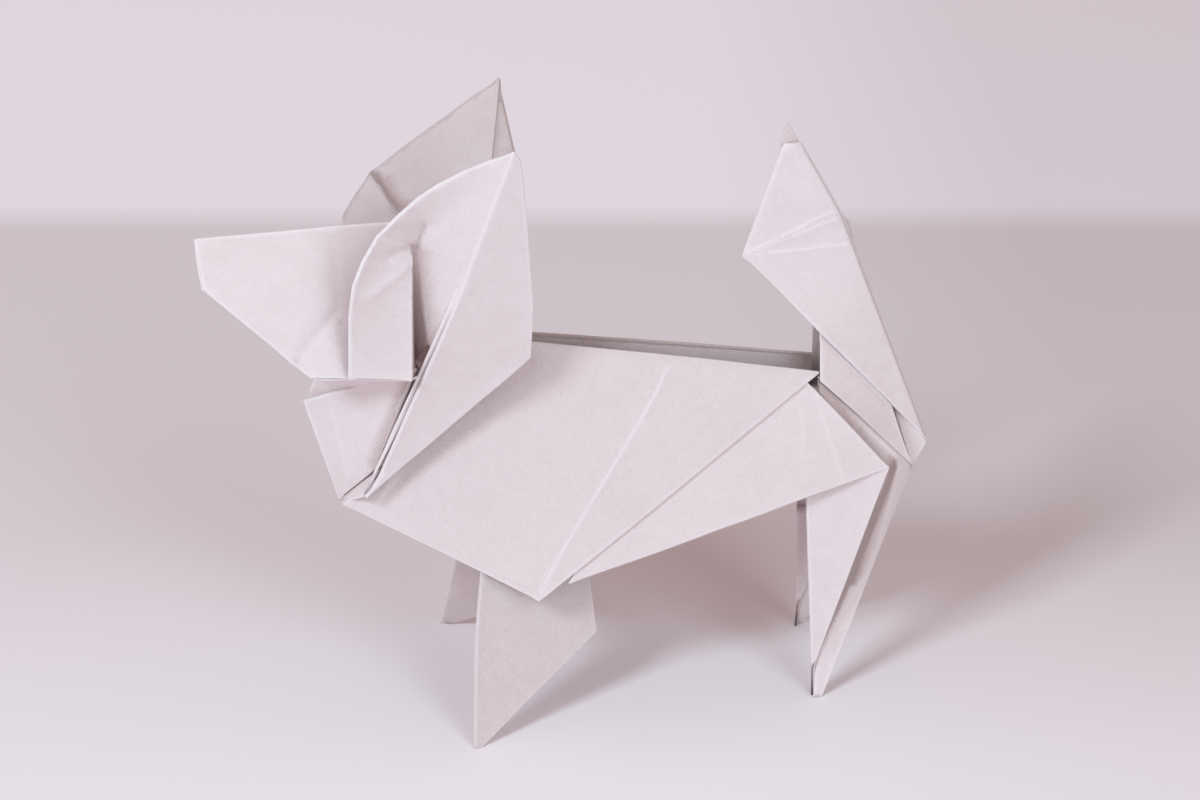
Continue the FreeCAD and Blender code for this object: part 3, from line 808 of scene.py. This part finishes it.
class Finish:
    # a material and the nodes that its colour is made with
    mixColours, mixResult = (6, 7), 2    # sockets of a Mix node that mixes colours

    def __init__(self, name, roughness, shine=0.2):
        self.material = bpy.data.materials.new(name)
        self.material.use_nodes = True
        self.nodes = self.material.node_tree.nodes
        self.links = self.material.node_tree.links
        self.shader = self.nodes["Principled BSDF"]
        self.shader.inputs["Roughness"].default_value = roughness
        self.shader.inputs["Specular IOR Level"].default_value = shine
        self.place = self.node("TexCoord").outputs["Object"]

    def node(self, kind, **settings):
        made = self.nodes.new("ShaderNode" + kind)
        for key, value in settings.items():
            setattr(made, key, value)
        return made

    def feed(self, socket, value):
        # a node's output is linked to the socket, and a plain value is set on it
        if isinstance(value, bpy.types.NodeSocket):
            self.links.new(value, socket)
        else:
            socket.default_value = value

    def millimetres(self):
        made = self.node("VectorMath", operation="SCALE")
        made.inputs["Scale"].default_value = perMetre
        self.feed(made.inputs[0], self.place)
        return made.outputs[0]

    def along(self, direction, start):
        made = self.node("VectorMath", operation="DOT_PRODUCT")
        made.inputs[1].default_value = direction
        self.feed(made.inputs[0], self.place)
        return self.maths("SUBTRACT", made.outputs["Value"], start)

    def patches(self, place, size, detail, roughness=0.5):
        made = self.node("TexNoise")
        made.inputs["Scale"].default_value = 1 / size
        made.inputs["Detail"].default_value = detail
        made.inputs["Roughness"].default_value = roughness
        self.feed(made.inputs["Vector"], place)
        return made.outputs["Fac"]

    def remap(self, value, low, high, toLow, toHigh):
        made = self.node("MapRange")
        self.feed(made.inputs["Value"], value)
        for socket, end in (("From Min", low), ("From Max", high), ("To Min", toLow), ("To Max", toHigh)):
            made.inputs[socket].default_value = end
        return made.outputs["Result"]

    def maths(self, operation, one, two):
        made = self.node("Math", operation=operation)
        self.feed(made.inputs[0], one)
        self.feed(made.inputs[1], two)
        return made.outputs[0]

    def blend(self, factor, one, two, mode="MIX"):
        made = self.node("Mix", data_type="RGBA", blend_type=mode, clamp_factor=True)
        self.feed(made.inputs["Factor"], factor)
        for socket, value in zip(self.mixColours, (one, two)):
            self.feed(made.inputs[socket], value)
        return made.outputs[self.mixResult]

    def attribute(self, name):
        return self.node("Attribute", attribute_name=name).outputs["Fac"]


# material: pale uncoated paper, lighter where it is creased or worn, with a painted highlight on worn
# edges and painted shade where shade falls
look = {
    "roughness": 0.92,
    "colour": (0.775, 0.685, 0.700, 1),
    "darkFibre": (0.640, 0.550, 0.560, 1),
    "worn": (0.90, 0.84, 0.86, 1),
    # the next two colours: painted shade, and the darkest painted shade for black gaps
    "inner": (0.50, 0.395, 0.39, 1),
    "paintedDarkest": (0.04, 0.03, 0.03, 1),
    # how a patch's strength, from and to, changes the wear and painted highlight on folds,
    # the creases and the painted shade, from and to
    "wornGrain": (0.35, 0.65, 0.45, 0.85),
    "creaseCloud": (0.30, 0.70, 0.55, 1.0),
    "paintedShadeGrain": (0.35, 0.65, 0.75, 1.25),
    "bumpGrain": 0.7,
    "bumpCloud": 0.6,
    "bumpStrength": 0.35,
    "bumpHeight": 0.00006,    # metres
}
# patches of darker fibre: size in millimetres, detail, roughness, where a patch starts and
# where it is full, and how dark it is
fibrePatches = {
    "mottle": (9.0, 3.0, 0.5, 0.35, 0.70, 0.16),
    "cloud": (1.6, 4.0, 0.6, 0.35, 0.72, 0.22),
    "grain": (0.28, 3.0, 0.65, 0.42, 0.75, 0.34),
    "speck": (0.42, 2.0, 0.5, 0.64, 0.74, 0.30),
}
sheet = Finish("foldedPaperSheet", look["roughness"])
sheetPlace = sheet.millimetres()
patch = {}
fibreAmount = 0.0
for name, (size, detail, roughness, start, full, dark) in fibrePatches.items():
    patch[name] = sheet.patches(sheetPlace, size, detail, roughness)
    fibreAmount = sheet.maths("ADD", fibreAmount, sheet.remap(patch[name], start, full, 0.0, dark))
wornAndHighlightAmount = sheet.maths("MULTIPLY", sheet.attribute("foldWearAndHighlight"),
                         sheet.remap(patch["grain"], *look["wornGrain"]))
creaseAmount = sheet.maths("MULTIPLY", sheet.attribute("creaseLine"),
                           sheet.remap(patch["cloud"], *look["creaseCloud"]))
# painted shade, and past 1 the darkest painted shade
paintedShadeAmount = sheet.maths("MULTIPLY", sheet.attribute("paintedShade"),
                          sheet.remap(patch["grain"], *look["paintedShadeGrain"]))
paintedDarkestAmount = sheet.maths("SUBTRACT", sheet.attribute("paintedShade"), 1.0)
paperColour = look["colour"]
for amount, colour in ((fibreAmount, look["darkFibre"]), (wornAndHighlightAmount, look["worn"]),
                       (creaseAmount, look["worn"]), (paintedShadeAmount, look["inner"]),
                       (paintedDarkestAmount, look["paintedDarkest"])):
    paperColour = sheet.blend(amount, paperColour, colour)
sheet.feed(sheet.shader.inputs["Base Color"], paperColour)
grainHeight = sheet.maths("ADD", sheet.maths("MULTIPLY", patch["grain"], look["bumpGrain"]),
                          sheet.maths("MULTIPLY", patch["cloud"], look["bumpCloud"]))
bump = sheet.node("Bump")
bump.inputs["Strength"].default_value = look["bumpStrength"]
bump.inputs["Distance"].default_value = look["bumpHeight"]
sheet.feed(bump.inputs["Height"], grainHeight)
sheet.feed(sheet.shader.inputs["Normal"], bump.outputs[0])
mesh.materials.append(sheet.material)

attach(dog, "root")
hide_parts("folded_sheet")
print("paper finished")

# fibres: short loose paper fibres lying in the surface of the sheet, in metres
fibres = {
    "density": 260000,     # per square metre of surface
    "length": 0.0006,
    "shortest": 0.35,      # part of that length
    "radius": 0.000014,
    "seed": 11,
    "colour": (0.66, 0.56, 0.555, 1),
    "roughness": 0.9,
    "toneSize": 2.2,       # millimetres from a darker fibre to a lighter one
}
fibreFinish = Finish("paperFibre", fibres["roughness"])
fibreTone = fibreFinish.patches(fibreFinish.millimetres(), fibres["toneSize"], 2.0)
fibreTone = fibreFinish.remap(fibreTone, 0.35, 0.65, 0.0, 1.0)
fibreTone = fibreFinish.blend(fibreTone, fibres["colour"], look["worn"])
fibreFinish.feed(fibreFinish.shader.inputs["Base Color"], fibreTone)


def makeFibreTree():
    group = bpy.data.node_groups.new("fibresOnSheet", "GeometryNodeTree")
    face = group.interface
    for name, kind in (("Sheet", "Geometry"), ("Density", "Float"), ("Length", "Float"),
                       ("Shortest", "Float"), ("Radius", "Float"), ("Seed", "Int")):
        face.new_socket(name, in_out="INPUT", socket_type="NodeSocket" + kind)
    face.new_socket("Fibres", in_out="OUTPUT", socket_type="NodeSocketGeometry")
    randomLow, randomHigh, randomValue = 2, 3, 1    # sockets of a random number

    def add(kind, **settings):
        made = group.nodes.new(kind)
        for key, value in settings.items():
            setattr(made, key, value)
        return made

    given = add("NodeGroupInput").outputs
    scatter = add("GeometryNodeDistributePointsOnFaces", distribute_method="RANDOM")
    one = add("GeometryNodeMeshCylinder", fill_type="NGON")
    one.inputs["Vertices"].default_value = 3
    laid = add("GeometryNodeTransform")
    laid.inputs["Rotation"].default_value = (math.pi / 2, 0, 0)
    turn = add("FunctionNodeRandomValue", data_type="FLOAT")
    turn.inputs[randomLow].default_value = 0.0
    turn.inputs[randomHigh].default_value = math.pi
    turned = add("ShaderNodeCombineXYZ")
    long = add("FunctionNodeRandomValue", data_type="FLOAT")
    long.inputs[randomHigh].default_value = 1.0
    scaled = add("ShaderNodeCombineXYZ")
    scaled.inputs["X"].default_value = 1.0
    scaled.inputs["Z"].default_value = 1.0
    placed = add("GeometryNodeInstanceOnPoints")
    spun = add("GeometryNodeRotateInstances")
    spun.inputs["Local Space"].default_value = True
    real = add("GeometryNodeRealizeInstances")
    painted = add("GeometryNodeSetMaterial")
    painted.inputs["Material"].default_value = fibreFinish.material
    for source, target, socket in (
            (given["Sheet"], scatter, "Mesh"), (given["Density"], scatter, "Density"),
            (given["Seed"], scatter, "Seed"), (given["Radius"], one, "Radius"),
            (given["Length"], one, "Depth"), (one.outputs["Mesh"], laid, "Geometry"),
            (given["Seed"], turn, "Seed"), (turn.outputs[randomValue], turned, "Z"),
            (given["Shortest"], long, randomLow), (given["Seed"], long, "Seed"),
            (long.outputs[randomValue], scaled, "Y"),
            (scatter.outputs["Points"], placed, "Points"),
            (laid.outputs["Geometry"], placed, "Instance"),
            (scatter.outputs["Rotation"], placed, "Rotation"),
            (scaled.outputs["Vector"], placed, "Scale"),
            (placed.outputs["Instances"], spun, "Instances"),
            (turned.outputs["Vector"], spun, "Rotation"),
            (spun.outputs["Instances"], real, "Geometry"),
            (real.outputs["Geometry"], painted, "Geometry"),
            (painted.outputs["Geometry"], add("NodeGroupOutput"), "Fibres")):
        group.links.new(source, target.inputs[socket])
    return group


fibreTree = makeFibreTree()
fibrePiece = bpy.data.objects.new("paperFibres", mesh.copy())
scene.collection.objects.link(fibrePiece)
modifier = fibrePiece.modifiers.new("fibres", "NODES")
modifier.node_group = fibreTree
for item in fibreTree.interface.items_tree:
    if item.in_out == "INPUT" and item.name.lower() in fibres:
        modifier[item.identifier] = fibres[item.name.lower()]
evaluated = fibrePiece.evaluated_get(bpy.context.evaluated_depsgraph_get())
fibreMesh = bpy.data.meshes.new_from_object(evaluated)
fibrePiece.modifiers.clear()
fibrePiece.data = fibreMesh
print("fibres laid:", len(fibreMesh.polygons), "faces")

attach(fibrePiece, "root")
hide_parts("folded_sheet")

# floor: pale, brightest near the front, with painted shade that makes it a little darker in the
# middle distance and to the right, and lighter again past a soft step, like a sheet of card laid there,
# where a painted glow brightens it
table = {
    "halfSize": 3,                         # metres, as are the lengths below
    "roughness": 0.75,
    "front": (-0.04664, -0.3748, 0.0),     # where the distances back and across start
    "back": (0.1323, 0.9912, 0.0),         # level directions
    "across": (0.9912, -0.1323, 0.0),
    "rightEnds": (0.020, 0.075),           # painted shade darkens it between these distances across
    "rightShadeColour": (0.885, 0.87, 0.865, 1),
    "rightNear": (0.36, 0.42),             # and only past these distances back
    "rightLeast": 0.25,                    # or this much of it nearer than that
    "cardEnds": (0.5245, 0.5345),
    "cardPaintedGlow": (0.107, 0.105, 0.138, 1),  # a painted glow, seen in the background only
    "cardPaintedGlowRight": 0.8,
}
# painted shade: the floor's colour darkens with distance back, then is lighter past the card's step
tableTones = (    # distance back, and colour
    (0.350, (0.93, 0.89, 0.935, 1)), (0.385, (0.88, 0.835, 0.875, 1)), (0.415, (0.82, 0.765, 0.80, 1)),
    (0.480, (0.80, 0.75, 0.78, 1)), (0.522, (0.80, 0.75, 0.775, 1)), (0.535, (0.86, 0.82, 0.85, 1)),
    (0.640, (0.90, 0.86, 0.89, 1)),
)
side = table["halfSize"]
floorMesh = bpy.data.meshes.new("tableTop")
floorMesh.from_pydata([(-side, -side, 0), (side, -side, 0), (side, side, 0), (-side, side, 0)],
                      [], [(0, 1, 2, 3)])
floor = bpy.data.objects.new("tableTop", floorMesh)
scene.collection.objects.link(floor)

top = Finish("tableTop", table["roughness"])
front = Vector(table["front"])
depth = top.along(table["back"], front.dot(Vector(table["back"])))
sideways = top.along(table["across"], front.dot(Vector(table["across"])))
ramp = top.node("ValToRGB")
for k in range(len(tableTones) - 2):
    ramp.color_ramp.elements.new(0.5)
for k, (place, tone) in enumerate(tableTones):
    ramp.color_ramp.elements[k].position = place
    ramp.color_ramp.elements[k].color = tone
top.feed(ramp.inputs["Fac"], depth)
white = (1, 1, 1, 1)
toRight = top.remap(sideways, *table["rightEnds"], 0.0, 1.0)
rightShade = top.blend(toRight, white, table["rightShadeColour"])
rightAmount = top.remap(depth, *table["rightNear"], table["rightLeast"], 1.0)
rightHere = top.blend(rightAmount, white, rightShade)
floorTone = top.blend(1.0, ramp.outputs["Color"], rightHere, "MULTIPLY")
top.feed(top.shader.inputs["Base Color"], floorTone)
rays = top.node("LightPath").outputs
seenRays = top.maths("MAXIMUM", rays["Is Camera Ray"], rays["Is Glossy Ray"])
seenRays = top.maths("MAXIMUM", seenRays, rays["Is Transmission Ray"])
# painted glow: past the step the card glows where it is seen, and lights nothing
onCard = top.remap(depth, *table["cardEnds"], 0.0, 1.0)
glowAmount = top.remap(toRight, 0.0, 1.0, 1.0, table["cardPaintedGlowRight"])
glowHere = top.maths("MULTIPLY", onCard, glowAmount)
glowing = top.node("Emission")
glowing.inputs["Color"].default_value = table["cardPaintedGlow"]
top.feed(glowing.inputs["Strength"], top.maths("MULTIPLY", seenRays, glowHere))
together = top.node("AddShader")
top.feed(together.inputs[0], top.shader.outputs[0])
top.feed(together.inputs[1], glowing.outputs[0])
top.feed(top.nodes["Material Output"].inputs["Surface"], together.outputs[0])
floorMesh.materials.append(top.material)
print("floor laid")

studio = {
    "skyColour": (1.0, 0.77, 0.74, 1),
    "skyStrength": 0.48,
    "skySeen": (0.88, 0.84, 0.87, 1),      # where the sky itself is in view
    "lampAim": (0, 0, 0.04),               # metres
    "lampDistance": 1.1,
}
lamps = {    # azimuth and elevation in degrees, watts, colour, and metres across
    "leftLamp": (-50, 40, 6.15, (0.76, 0.93, 1.0), 0.26),
    "rightLowLamp": (26, 15, 2.1, (0.72, 0.95, 0.97), 0.4),
    "rightHighLamp": (26, 40, 1.85, (0.74, 0.92, 1.0), 0.4),
}
world = bpy.data.worlds.new("studio")
scene.world = world
world.use_nodes = True
skyTree = world.node_tree
sky = skyTree.nodes["Background"]
sky.inputs["Color"].default_value = studio["skyColour"]
sky.inputs["Strength"].default_value = studio["skyStrength"]
seen = skyTree.nodes.new("ShaderNodeBackground")
seen.inputs["Color"].default_value = studio["skySeen"]
rays = skyTree.nodes.new("ShaderNodeLightPath")
skyMix = skyTree.nodes.new("ShaderNodeMixShader")
skyTree.links.new(rays.outputs["Is Camera Ray"], skyMix.inputs[0])
skyTree.links.new(sky.outputs[0], skyMix.inputs[1])
skyTree.links.new(seen.outputs[0], skyMix.inputs[2])
skyTree.links.new(skyMix.outputs[0], skyTree.nodes["World Output"].inputs["Surface"])


def towards(azimuth, elevation):
    a, e = math.radians(azimuth), math.radians(elevation)
    return Vector((math.sin(a) * math.cos(e), -math.cos(a) * math.cos(e), math.sin(e)))


def faceAlong(item, direction):
    item.rotation_euler = direction.to_track_quat("-Z", "Y").to_euler()


aim = Vector(studio["lampAim"])
for name, (azimuth, elevation, power, colour, across) in lamps.items():
    data = bpy.data.lights.new(name, "AREA")
    data.shape = "SQUARE"
    data.size = across
    data.energy = power
    data.color = colour
    lamp = bpy.data.objects.new(name, data)
    scene.collection.objects.link(lamp)
    lamp.location = aim + towards(azimuth, elevation) * studio["lampDistance"]
    faceAlong(lamp, aim - lamp.location)

view = {
    "place": (-0.04664, -0.3748, 0.2298),    # metres
    "azimuth": -7.6,                         # degrees, as is the elevation
    "elevation": 26.6,
    "lens": 100,
    "sensorWidth": 36,
    "clipStart": 0.01,
}
cameraData = bpy.data.cameras.new("camera")
cameraData.lens = view["lens"]
cameraData.sensor_width = view["sensorWidth"]
cameraData.clip_start = view["clipStart"]
camera = bpy.data.objects.new("camera", cameraData)
scene.collection.objects.link(camera)
camera.location = view["place"]
faceAlong(camera, -towards(view["azimuth"], view["elevation"]))
scene.camera = camera
print("lamps and camera set")

bpy.context.view_layer.update()
